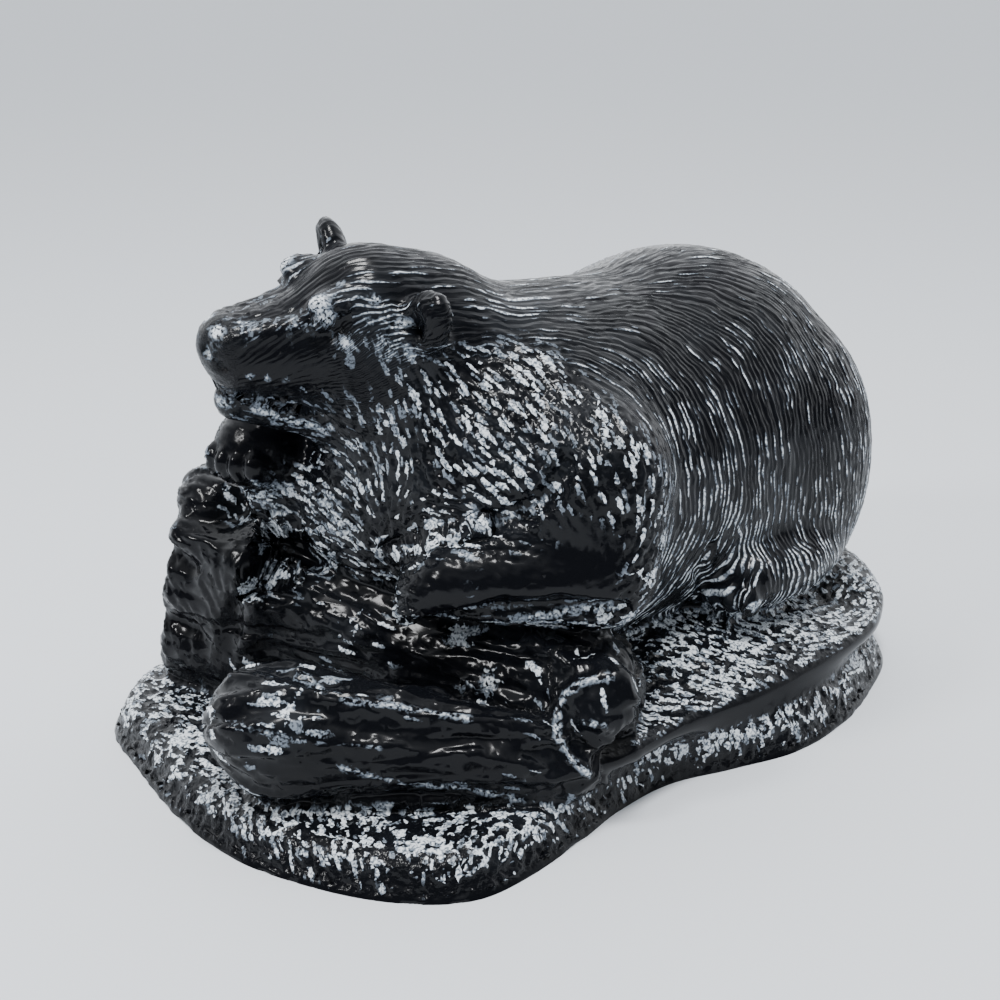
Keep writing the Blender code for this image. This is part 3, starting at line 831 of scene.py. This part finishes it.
# Where one surface gives way to the next, in millimetres: from, to
zoneEdges = {
    "head": (3, -3),  # away from the head's form
    "face": (2, 12),  # ahead of the skull's middle
    "nose": (33.5, 35.5),
    "faceTufts": (12.5, 9.5),  # above the skull's middle
    "tuftBack": (2, -8),  # along the bear, leaning back as it rises
    "tuftTop": (86, 79),  # heights, this one and the next
    "belly": (60, 35),
    "rim": (-9, -6),  # from the upper tier's outline, less than zero inside it
    "underside": (0.3, 1.5),  # height
}


# Full wash on the lines and patches that are drawn from the picture; two brow patches are painted highlights
def drawnWash(points):
    lines, patches = np.zeros(len(points)), np.zeros(len(points))
    for spots, half in washLines.values():
        route = seenAt(spots, statue)
        for start, end in zip(route[:-1], route[1:]):
            apart = Limb(start, end, 0.01, 0.009).distance(points)
            lines = np.maximum(lines, smoothStep(half * 1.3, half * 0.5, apart))
    for (apart,) in nearSpots(points, washPatches):
        patches = np.maximum(patches, smoothStep(1.3, 0.5, apart))
    return lines, patches


# The lie of the strokes on the bear, and on the wood and the rock
def castingLie(points, normals, ofBear):
    places, ways = zip(furHints(), strokesOn(muzzleDabs * 2))
    lie = strokeLie(points, normals, (np.concatenate(places), np.concatenate(ways)))
    onGround = ofBear < 0.5
    hints = strokesOn(sum(groundStrokes.values(), []))
    lie[onGround] = strokeLie(points[onGround], normals[onGround], hints)
    return lie


def castingZones(mesh):
    points = pointsOf(mesh)
    normals = slopes(statue, points)
    zones = zonesAt(points)
    x, z = points[:, 0], points[:, 2]
    skull = points - bear["place"]
    skullPlace = headPart.local(skull)
    ahead = skullPlace[:, 0]
    inHead = smoothStep(*zoneEdges["head"], headPart.distance(skull))
    face = inHead * smoothStep(*zoneEdges["face"], ahead)
    nose = inHead * smoothStep(*zoneEdges["nose"], ahead)
    tuft = smoothStep(*zoneEdges["tuftBack"], x + 0.25 * (z - 60))
    tuft *= smoothStep(*zoneEdges["tuftTop"], z)
    tuft *= 1 - face
    # the smooth rim of the upper tier and the channel below it
    tier, ledge = ground["tier"], ground["ledge"]
    edge = upperTier.beside(points)
    cove = smoothStep(ledge + 0.4, ledge + 1.8, z) * smoothStep(tier - 0.2, tier - 1.8, z)
    bare = cove * smoothStep(*zoneEdges["rim"], edge)
    foot = smoothStep(ledge - 2.5, ledge - 4.5, z)
    rock = zones["rock"] * (1 - bare) * smoothStep(*zoneEdges["underside"], z)
    wash = washShares["bear"] + 0.02 * tuft
    wash -= washShares["lessOnTop"] * smoothStep(0.45, 0.95, normals[:, 2]) * (1 - tuft)
    wash += washShares["moreOnBelly"] * smoothStep(*zoneEdges["belly"], z) * (x > 0)
    wash -= washShares["lessOnFace"] * face
    wash = wash * zones["bear"] + washShares["logs"] * zones["logs"]
    wash += rock * (washShares["rock"] - washShares["lessOnFoot"] * foot)
    plain = np.zeros(len(points))
    # the spots add wash or take it away; the forearm's glint spot paints a highlight
    for apart, more in nearSpots(points, washSpots):
        near = more * np.exp(-(apart**2))
        wash += near
        plain -= np.minimum(near, 0)
    wash = np.clip(wash * (1 - nose), 0, 1)
    tuft = np.maximum(tuft, 0.8 * face * smoothStep(*zoneEdges["faceTufts"], skullPlace[:, 2]))
    fur = zones["bear"] * (1 - nose) * (1 - tuft) * (1 - 0.6 * face)
    tuft *= 1 - 0.75 * smoothStep(0.1, 0.5, plain)
    lines, patches = drawnWash(points)
    lie = castingLie(points, normals, zones["bear"])
    store(mesh, "zones", np.stack([fur, zones["bear"] * tuft * (1 - nose), zones["logs"]], axis=1))
    store(mesh, "finish", np.stack([rock, wash, np.clip(plain, 0, 1)], axis=1))
    store(mesh, "grain", barkGrain(points))
    store(mesh, "place", points)
    store(mesh, "marks", np.stack([lines, patches, nose], axis=1))
    store(mesh, "lie", lie)
    store(mesh, "side", np.cross(normals, lie))


# Place along and around each log, with the seam underneath
def barkGrain(points):
    parts = (upperPart, lowerPart, stubPart)
    radii = (logs["upperRadius"], logs["lowerRadius"], logs["stubRadius"])
    nearest = np.argmin([part.distance(points) for part in parts], axis=0)
    grain = np.zeros_like(points)
    for index, (part, radius) in enumerate(zip(parts, radii)):
        own = nearest == index
        local = part.local(points[own])
        around = np.arctan2(local[:, 1], local[:, 2]) * radius
        along = local[:, 0] - local[:, 2] * 0.3
        grain[own] = np.stack([along, around, np.full(own.sum(), 30.0 * index)], axis=1)
    return grain


# Nodes that geometry and materials share
def addNode(tree, kind, values=(), **settings):
    added = tree.nodes.new(kind)
    for name, value in settings.items():
        setattr(added, name, value)
    for socket, value in dict(values).items():
        target = added.inputs[socket]
        if isinstance(value, bpy.types.NodeSocket):
            tree.links.new(value, target)
        else:
            target.default_value = value
    return added


def maths(tree, operation, *values):
    return addNode(tree, "ShaderNodeMath", enumerate(values), operation=operation).outputs[0]


def combined(tree, x, y, z):
    return addNode(tree, "ShaderNodeCombineXYZ", {0: x, 1: y, 2: z}).outputs[0]


def noise(tree, vector, detail=2.0, distortion=0.0):
    values = {"Vector": vector, "Scale": 1.0, "Detail": detail, "Distortion": distortion}
    return addNode(tree, "ShaderNodeTexNoise", values).outputs["Fac"]


def ramped(tree, value, low, high, toLow=0.0, toHigh=1.0):
    values = {"Value": value, "From Min": low, "From Max": high, "To Min": toLow, "To Max": toHigh}
    return addNode(tree, "ShaderNodeMapRange", values, interpolation_type="SMOOTHSTEP").outputs[0]


carving = {
    "furPitch": 1.5,
    "furLength": 6.0,
    "furDepth": 0.45,
    "tuftSpacing": 2.7,
    "tuftDepth": 0.55,
    "chipSpacing": 5.0,
    "barkPitch": 6.5,
    "barkDepth": 1.0,
    "pebbleSize": 1.7,
    "pebbleDepth": 0.6,
    "seed": 3.0,
}


def scaled(tree, vector, share):
    return addNode(tree, "ShaderNodeVectorMath", {0: vector, 3: share}, operation="SCALE").outputs[0]


def mixed(tree, share, first, second):
    return addNode(tree, "ShaderNodeMix", {0: share, 2: first, 3: second}, data_type="FLOAT").outputs[0]


def projected(tree, vector, way):
    both = {0: vector, 1: way}
    return addNode(tree, "ShaderNodeVectorMath", both, operation="DOT_PRODUCT").outputs["Value"]


# Short strokes that lie along a direction, in layers: their height and where the wash sits on them.
# The strokes' length and width are shares of the spacing between them.
def dabNodes(tree, place, lie, side, wash, spacing, length, width, layers):
    heights, paints = 0.0, 0.0
    ragged = ramped(tree, noise(tree, scaled(tree, place, 1.3), 2.0), 0.3, 0.7, -0.3, 0.3)
    for layer in range(layers):
        shift = (7.3 * layer, 3.1 * layer, 5.7 * layer)
        shifted = addNode(tree, "ShaderNodeVectorMath", {0: place, 1: shift})
        spread = scaled(tree, shifted.outputs[0], maths(tree, "DIVIDE", 1.0, spacing))
        values = {"Vector": spread, "Scale": 1.0, "Randomness": 0.95}
        cell = addNode(tree, "ShaderNodeTexVoronoi", values).outputs
        away = addNode(
            tree, "ShaderNodeVectorMath", {0: spread, 1: cell["Position"]}, operation="SUBTRACT"
        ).outputs[0]
        chance = addNode(tree, "ShaderNodeSeparateXYZ", {0: cell["Color"]}).outputs
        parts = []
        for way, reach in ((lie, length), (side, width)):
            share = projected(tree, away, way)
            reach = maths(tree, "MULTIPLY", reach, ramped(tree, chance[2], 0.0, 1.0, 0.6, 1.4))
            parts.append(maths(tree, "POWER", maths(tree, "DIVIDE", share, reach), 2.0))
        apart = maths(tree, "SQRT", maths(tree, "ADD", *parts))
        apart = maths(tree, "ADD", apart, ragged)
        heights = maths(tree, "MAXIMUM", heights, ramped(tree, apart, 0.3, 1.1, 1.0, 0.0))
        enough = maths(tree, "SUBTRACT", maths(tree, "MULTIPLY", wash, 0.62), chance[0])
        chosen = ramped(tree, enough, -0.03, 0.05, 0.0, ramped(tree, chance[1], 0.0, 0.7, 0.45, 1.0))
        paint = maths(tree, "MULTIPLY", ramped(tree, apart, 0.55, 0.8, 1.0, 0.0), chosen)
        paints = maths(tree, "MAXIMUM", paints, paint)
    return heights, paints


# For each kind of carving, from places in millimetres: its relief from 0, deep, to 1, proud, where
# the wash sits on it, and a plainer relief for the bump, because cells in a bump render slowly
def reliefNodes(tree, growth, grain, place, lie, side, sizes, wash=0.5):
    seed = sizes["seed"]
    run, rise, stretch = list(addNode(tree, "ShaderNodeSeparateXYZ", {0: growth}).outputs)
    length, around, shift = list(addNode(tree, "ShaderNodeSeparateXYZ", {0: grain}).outputs)
    tuftHeight, tuftPaint = dabNodes(tree, place, lie, side, wash, sizes["tuftSpacing"], 0.85, 0.19, 4)
    chipHeight, chipPaint = dabNodes(tree, place, lie, side, wash, sizes["chipSpacing"], 0.6, 0.15, 3)

    def drawn(first, second, stepFirst, stepSecond, offset):
        return combined(
            tree,
            maths(tree, "DIVIDE", first, stepFirst),
            maths(tree, "DIVIDE", second, stepSecond),
            maths(tree, "ADD", seed, offset),
        )

    # the fur's width is drawn at two doublings, so that its lines stay evenly apart
    octave = maths(tree, "LOGARITHM", stretch, 2.0)
    whole = maths(tree, "FLOOR", octave)
    between = ramped(tree, maths(tree, "SUBTRACT", octave, whole), 0.2, 0.8)
    wander = noise(tree, scaled(tree, place, 0.09), 2.0)
    ripple = noise(tree, scaled(tree, place, 0.35), 1.0)
    wander = maths(tree, "ADD", maths(tree, "MULTIPLY", wander, 4.0), maths(tree, "MULTIPLY", ripple, 0.35))
    kinds = []
    for step in (0.0, 1.0):
        double = maths(tree, "POWER", 2.0, maths(tree, "ADD", whole, step))
        narrow = maths(tree, "DIVIDE", rise, double)
        lines = maths(tree, "ADD", maths(tree, "DIVIDE", narrow, sizes["furPitch"]), wander)
        lines = maths(tree, "MULTIPLY", maths(tree, "PINGPONG", lines, 0.5), 2.0)
        strands = noise(tree, drawn(run, narrow, sizes["furLength"], sizes["furPitch"], 7.0 + step), 2.0, 0.3)
        kinds.append((lines, strands))
    lines, strands = (mixed(tree, between, *pair) for pair in zip(*kinds))
    fur = maths(tree, "ADD", maths(tree, "MULTIPLY", lines, 0.6), ramped(tree, strands, 0.3, 0.7, 0.0, 0.4))
    fissures = noise(tree, drawn(length, around, 26.0, sizes["barkPitch"], shift), 1.0, 0.5)
    bark = maths(tree, "MULTIPLY", ramped(tree, fissures, 0.42, 0.58), 0.7)
    lumps = noise(tree, scaled(tree, place, maths(tree, "DIVIDE", 1.0, sizes["pebbleSize"])), 3.5)
    rock = ramped(tree, lumps, 0.3, 0.7, 0.0, 0.65)

    def dabbed(height, dabs, share):
        return maths(tree, "ADD", height, maths(tree, "MULTIPLY", dabs, share))

    # the wash: more of it where its share is high
    def painted(value, low, high, soft):
        level = addNode(tree, "ShaderNodeMapRange", {"Value": wash, "To Min": high, "To Max": low}).outputs[0]
        return ramped(tree, maths(tree, "SUBTRACT", value, level), -soft, soft)

    furPaint = maths(tree, "MULTIPLY", ramped(tree, lines, 0.5, 0.8), painted(strands, 0.36, 0.72, 0.05))
    barkPaint = maths(tree, "MAXIMUM", chipPaint, painted(lumps, 0.45, 0.85, 0.03))
    rockPaint = maths(tree, "MAXIMUM", painted(lumps, 0.44, 0.72, 0.03), tuftPaint)
    return {
        "fur": (fur, furPaint, fur),
        "tuft": (tuftHeight, tuftPaint, maths(tree, "MULTIPLY", rock, 0.4)),
        "bark": (dabbed(bark, chipHeight, 0.3), barkPaint, bark),
        "rock": (dabbed(rock, tuftHeight, 0.35), rockPaint, rock),
    }


def carvingTree(material):
    tree = bpy.data.node_groups.new("carving", "GeometryNodeTree")
    tree.interface.new_socket("Geometry", in_out="INPUT", socket_type="NodeSocketGeometry")
    tree.interface.new_socket("Fur Guide", in_out="INPUT", socket_type="NodeSocketObject")
    for key, value in carving.items():
        label = "".join(" " + letter if letter.isupper() else letter for letter in key).title()
        socket = tree.interface.new_socket(label, in_out="INPUT", socket_type="NodeSocketFloat")
        socket.default_value = value
    tree.interface.new_socket("Geometry", in_out="OUTPUT", socket_type="NodeSocketGeometry")
    given = addNode(tree, "NodeGroupInput").outputs
    sizes = dict(zip(carving, list(given)[2:]))

    def named(name):
        return addNode(
            tree, "GeometryNodeInputNamedAttribute", {"Name": name}, data_type="FLOAT_VECTOR"
        ).outputs["Attribute"]

    guide = addNode(tree, "GeometryNodeObjectInfo", {"Object": given["Fur Guide"]}).outputs["Geometry"]
    sampled = addNode(
        tree,
        "GeometryNodeSampleNearestSurface",
        {"Mesh": guide, "Value": named("growth")},
        data_type="FLOAT_VECTOR",
    ).outputs["Value"]
    stored = addNode(
        tree,
        "GeometryNodeStoreNamedAttribute",
        {"Geometry": given["Geometry"], "Name": "growth", "Value": sampled},
        data_type="FLOAT_VECTOR",
        domain="POINT",
    ).outputs["Geometry"]
    relief = reliefNodes(tree, *map(named, ("growth", "grain", "place", "lie", "side")), sizes)
    zones = addNode(tree, "ShaderNodeSeparateXYZ", {0: named("zones")}).outputs
    finish = addNode(tree, "ShaderNodeSeparateXYZ", {0: named("finish")}).outputs
    depth = 0.0
    for key, share in (("fur", zones[0]), ("tuft", zones[1]), ("bark", zones[2]), ("rock", finish[0])):
        size = sizes[{"rock": "pebbleDepth"}.get(key, key + "Depth")]
        most = maths(tree, "MULTIPLY", size, share)
        cutIn = maths(tree, "MULTIPLY", maths(tree, "SUBTRACT", 1.0, relief[key][0]), most)
        depth = maths(tree, "ADD", depth, cutIn)
    inward = addNode(
        tree,
        "ShaderNodeVectorMath",
        {0: addNode(tree, "GeometryNodeInputNormal").outputs[0], 3: maths(tree, "MULTIPLY", depth, -1.0)},
        operation="SCALE",
    ).outputs[0]
    carved = addNode(tree, "GeometryNodeSetPosition", {"Geometry": stored, "Offset": inward}).outputs[0]
    real = addNode(tree, "GeometryNodeRealizeInstances", {0: carved}).outputs[0]
    finished = addNode(tree, "GeometryNodeSetMaterial", {"Geometry": real, "Material": material}).outputs[0]
    addNode(tree, "NodeGroupOutput", {0: finished})
    return tree


def carve(mesh, guide, material):
    helper = bpy.data.objects.new("carvedCasting", mesh)
    bpy.context.scene.collection.objects.link(helper)
    tree = carvingTree(material)
    modifier = helper.modifiers.new("Carving", "NODES")
    modifier.node_group = tree
    inputs = [item for item in tree.interface.items_tree if item.in_out == "INPUT"]
    for item, value in zip(inputs[1:], [guide, *carving.values()]):
        modifier[item.identifier] = value
    mesh = baked(helper)
    bpy.data.objects.remove(helper)
    bpy.data.objects.remove(guide)
    return mesh


# Cuts the mesh off at the plane that the statue stands on, and closes it with one flat face
def flattenUnderside(mesh):
    work = bmesh.new()
    work.from_mesh(mesh)
    everything = work.verts[:] + work.edges[:] + work.faces[:]
    bmesh.ops.bisect_plane(
        work, geom=everything, dist=0.01, plane_co=(0, 0, 0), plane_no=(0, 0, 1), clear_inner=True
    )
    rim = [edge for edge in work.edges if edge.is_boundary]
    for edge in rim:
        edge.smooth = False
        for vert in edge.verts:
            vert.co.z = 0
    bmesh.ops.edgeloop_fill(work, edges=rim)
    bmesh.ops.recalc_face_normals(work, faces=work.faces[:])
    work.to_mesh(mesh)
    work.free()


finish = {
    "black": (0.003, 0.0034, 0.0048, 1),
    "haze": (0.016, 0.019, 0.024, 1),
    "thinWash": (0.17, 0.2, 0.24, 1),
    # the pale wash, which also colours the painted highlights on the brow and the forearm
    "wash": (0.76, 0.81, 0.85, 1),
    "roughness": 0.18,
    "washRoughness": 0.45,
    "bump": 0.5,
    "gloss": 0.18,
}


def castingMaterial():
    material = bpy.data.materials.new("washedBlackCasting")
    material.use_nodes = True
    tree = material.node_tree
    shader = tree.nodes["Principled BSDF"]
    shader.inputs["Specular IOR Level"].default_value = finish["gloss"]

    def named(name):
        return addNode(tree, "ShaderNodeAttribute", attribute_name=name).outputs["Vector"]

    def colours(share, first, second):
        values = {0: share, 6: first, 7: second}
        return addNode(tree, "ShaderNodeMix", values, data_type="RGBA").outputs[2]

    zones = addNode(tree, "ShaderNodeSeparateXYZ", {0: named("zones")}).outputs
    more = addNode(tree, "ShaderNodeSeparateXYZ", {0: named("finish")}).outputs
    place = named("place")
    patches = noise(tree, scaled(tree, place, 0.11), 3.0)
    specks = noise(tree, scaled(tree, place, 1.9), 3.0)
    cover = maths(tree, "MULTIPLY", more[1], ramped(tree, patches, 0.3, 0.68, 0.5, 1.25))
    relief = reliefNodes(tree, *map(named, ("growth", "grain", "place", "lie", "side")), carving, cover)
    crest, paint = 0.0, 0.0
    for key, share in (("fur", zones[0]), ("tuft", zones[1]), ("bark", zones[2]), ("rock", more[0])):
        paint = maths(tree, "ADD", paint, maths(tree, "MULTIPLY", relief[key][1], share))
        crest = maths(tree, "ADD", crest, maths(tree, "MULTIPLY", relief[key][2], share))
    marks = addNode(tree, "ShaderNodeSeparateXYZ", {0: named("marks")}).outputs
    # the drawn patches, with the painted highlights on the brow among them
    paint = maths(tree, "MAXIMUM", paint, maths(tree, "MULTIPLY", marks[1], ramped(tree, specks, 0.35, 0.5)))
    leather = noise(tree, scaled(tree, place, 2.6), 2.0)
    leather = maths(tree, "MULTIPLY", marks[2], ramped(tree, leather, 0.4, 0.6, 0.0, 0.5))
    crest = maths(tree, "ADD", crest, leather)
    broken = noise(tree, scaled(tree, place, 0.9), 3.0)
    line = maths(tree, "MULTIPLY", marks[0], ramped(tree, broken, 0.4, 0.54, 0.0, 0.85))
    paint = maths(tree, "MAXIMUM", paint, line)
    paint = maths(tree, "MULTIPLY", paint, ramped(tree, specks, 0.3, 0.6, 0.25, 1.0))
    hazy = maths(tree, "MULTIPLY", cover, ramped(tree, patches, 0.35, 0.65, 0.1, 0.6))
    hazy = maths(tree, "MULTIPLY", hazy, maths(tree, "SUBTRACT", 1.0, more[2]))
    base = colours(hazy, finish["black"], finish["haze"])
    thin = colours(ramped(tree, paint, 0.05, 0.45), base, finish["thinWash"])
    full = colours(ramped(tree, paint, 0.4, 0.95), thin, finish["wash"])
    tree.links.new(full, shader.inputs["Base Color"])
    dull = ramped(tree, paint, 0.0, 1.0, finish["roughness"], finish["washRoughness"])
    tree.links.new(dull, shader.inputs["Roughness"])
    bump = addNode(
        tree, "ShaderNodeBump", {"Height": crest, "Strength": finish["bump"], "Distance": 0.0005}
    ).outputs[0]
    tree.links.new(bump, shader.inputs["Normal"])
    return material


def buildStatue():
    material = castingMaterial()
    mesh = castingSurface()
    print("surface settled with", len(mesh.vertices), "points")
    guide = furGuide(mesh)
    mesh = modified(mesh, "REMESH", mode="VOXEL", voxel_size=surface["fineStep"])
    settle(mesh, statue, 2)
    print("fine surface with", len(mesh.vertices), "points")
    castingZones(mesh)
    mesh = carve(mesh, guide, material)
    print("relief carved")
    triangles = sum(len(face.vertices) - 2 for face in mesh.polygons)
    mesh = modified(mesh, "DECIMATE", ratio=surface["triangles"] / triangles)
    flattenUnderside(mesh)
    mesh.transform(Matrix.Scale(1 / perMetre, 4))
    points = np.clip(pointsOf(mesh), *(np.array(corner) for corner in boxAtStart))
    mesh.vertices.foreach_set("co", points.astype(np.float32).ravel())
    for polygon in mesh.polygons:
        polygon.use_smooth = True
    piece = bpy.data.objects.new("carvedCasting", mesh)
    bpy.context.scene.collection.objects.link(piece)
    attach(piece, "root")
    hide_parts(node)
    print("statue finished with", len(mesh.polygons), "faces")
    return piece


studio = {
    "floorColour": (0.7, 0.73, 0.77, 1),
    "floorSize": 6.0,
    "ahead": (0.72, 0.69, 0.0),  # the way the camera looks, over the floor
    "wallBright": 2.1,
    "roomDark": 0.13,
    "lamps": [
        {"name": "overhead", "place": (-0.1, -0.15, 0.75), "aim": (0, 0, 0.03), "size": 0.2, "watts": 6.0},
        {"name": "window", "place": (-0.7, 0.15, 0.55), "aim": (0, 0, 0.04), "size": 0.16, "watts": 3.6},
    ],
}


def buildStudio():
    scene = bpy.context.scene
    camera = bpy.data.objects.new("camera", bpy.data.cameras.new("camera"))
    scene.collection.objects.link(camera)
    camera.location = picture["cameraPlace"]
    camera.rotation_euler = [math.radians(angle) for angle in picture["cameraTurn"]]
    camera.data.lens = picture["lens"]
    camera.data.sensor_width = picture["sensor"]
    camera.data.clip_start = 0.01
    scene.camera = camera

    floorMesh = bpy.data.meshes.new("floor")
    work = bmesh.new()
    bmesh.ops.create_grid(work, x_segments=1, y_segments=1, size=studio["floorSize"])
    work.to_mesh(floorMesh)
    work.free()
    floor = bpy.data.objects.new("floor", floorMesh)
    scene.collection.objects.link(floor)
    paper = bpy.data.materials.new("palePaper")
    paper.use_nodes = True
    tree = paper.node_tree
    shader = tree.nodes["Principled BSDF"]
    shader.inputs["Roughness"].default_value = 0.6
    shader.inputs["Specular IOR Level"].default_value = 0.2
    shader.inputs["Base Color"].default_value = studio["floorColour"]
    floorMesh.materials.append(paper)
    floor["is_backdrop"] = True

    world = bpy.data.worlds.new("room")
    scene.world = world
    world.use_nodes = True
    tree = world.node_tree
    background = tree.nodes["Background"]
    way = addNode(tree, "ShaderNodeTexCoord").outputs["Generated"]
    facing = projected(tree, way, studio["ahead"])
    height = addNode(tree, "ShaderNodeSeparateXYZ", {0: way}).outputs[2]
    wall = ramped(tree, facing, -0.4, 0.6, studio["roomDark"], studio["wallBright"])
    over = ramped(tree, height, 0.3, 1.0, 0.0, 1.0)
    strength = maths(tree, "MAXIMUM", wall, over)
    tree.links.new(strength, background.inputs["Strength"])
    background.inputs["Color"].default_value = (0.93, 0.96, 1, 1)
    for lamp in studio["lamps"]:
        light = bpy.data.lights.new(lamp["name"], "AREA")
        light.shape = "DISK"
        light.size = lamp["size"]
        light.energy = lamp["watts"]
        item = bpy.data.objects.new(lamp["name"], light)
        scene.collection.objects.link(item)
        item.location = lamp["place"]
        aim = Vector(lamp["aim"]) - Vector(lamp["place"])
        item.rotation_euler = aim.to_track_quat("-Z", "Y").to_euler()
    print("studio set")


buildStatue()
buildStudio()
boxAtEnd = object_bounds()
boxes = {"cad": boxAtStart, "visual": boxAtEnd}
{name: [list(corner) for corner in box] for name, box in boxes.items()}
